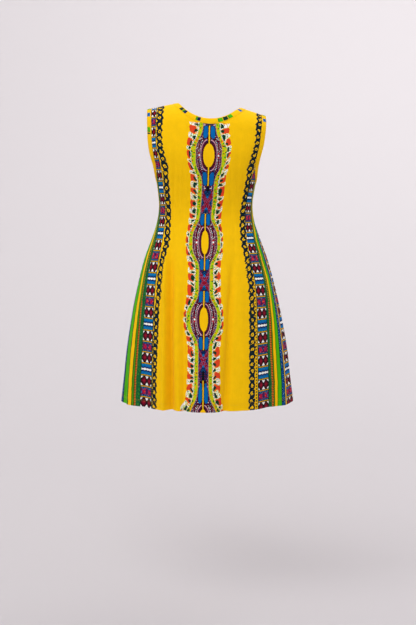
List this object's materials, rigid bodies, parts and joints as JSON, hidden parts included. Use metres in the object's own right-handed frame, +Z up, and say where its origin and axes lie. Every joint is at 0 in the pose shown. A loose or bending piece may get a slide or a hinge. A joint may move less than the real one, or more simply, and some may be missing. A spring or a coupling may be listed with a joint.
{
  "type": "sleeveless dress",
  "caption": "Sleeveless round-neck A-line dress, worn and hollow, with princess seams, printed panels and bound neck and armholes.",
  "frame": {"origin": "midway between the shoulder tops, in the plane of the shoulder ridges, where the wearer holds the dress up", "axes": "+Z up the wearer, -Y toward the front of the dress, +X toward the wearer's left"},
  "size_m": [0.5219, 0.3964, 0.8936],
  "materials": {
    "centre_print": "matte printed viscose, yellow with a column of traditional ornament",
    "side_print": "matte printed viscose, green, blue and maroon stripes and blocks",
    "binding_print": "matte printed viscose band, yellow with bright patches"
  },
  "bodies": {
    "root": {"back_centre": "centre_print", "back_side_left": "side_print", "back_side_right": "side_print", "front_centre": "centre_print", "front_side_left": "side_print", "front_side_right": "side_print", "neck_binding": "binding_print", "armhole_binding_left": "binding_print", "armhole_binding_right": "binding_print"}
  },
  "joints": []
}
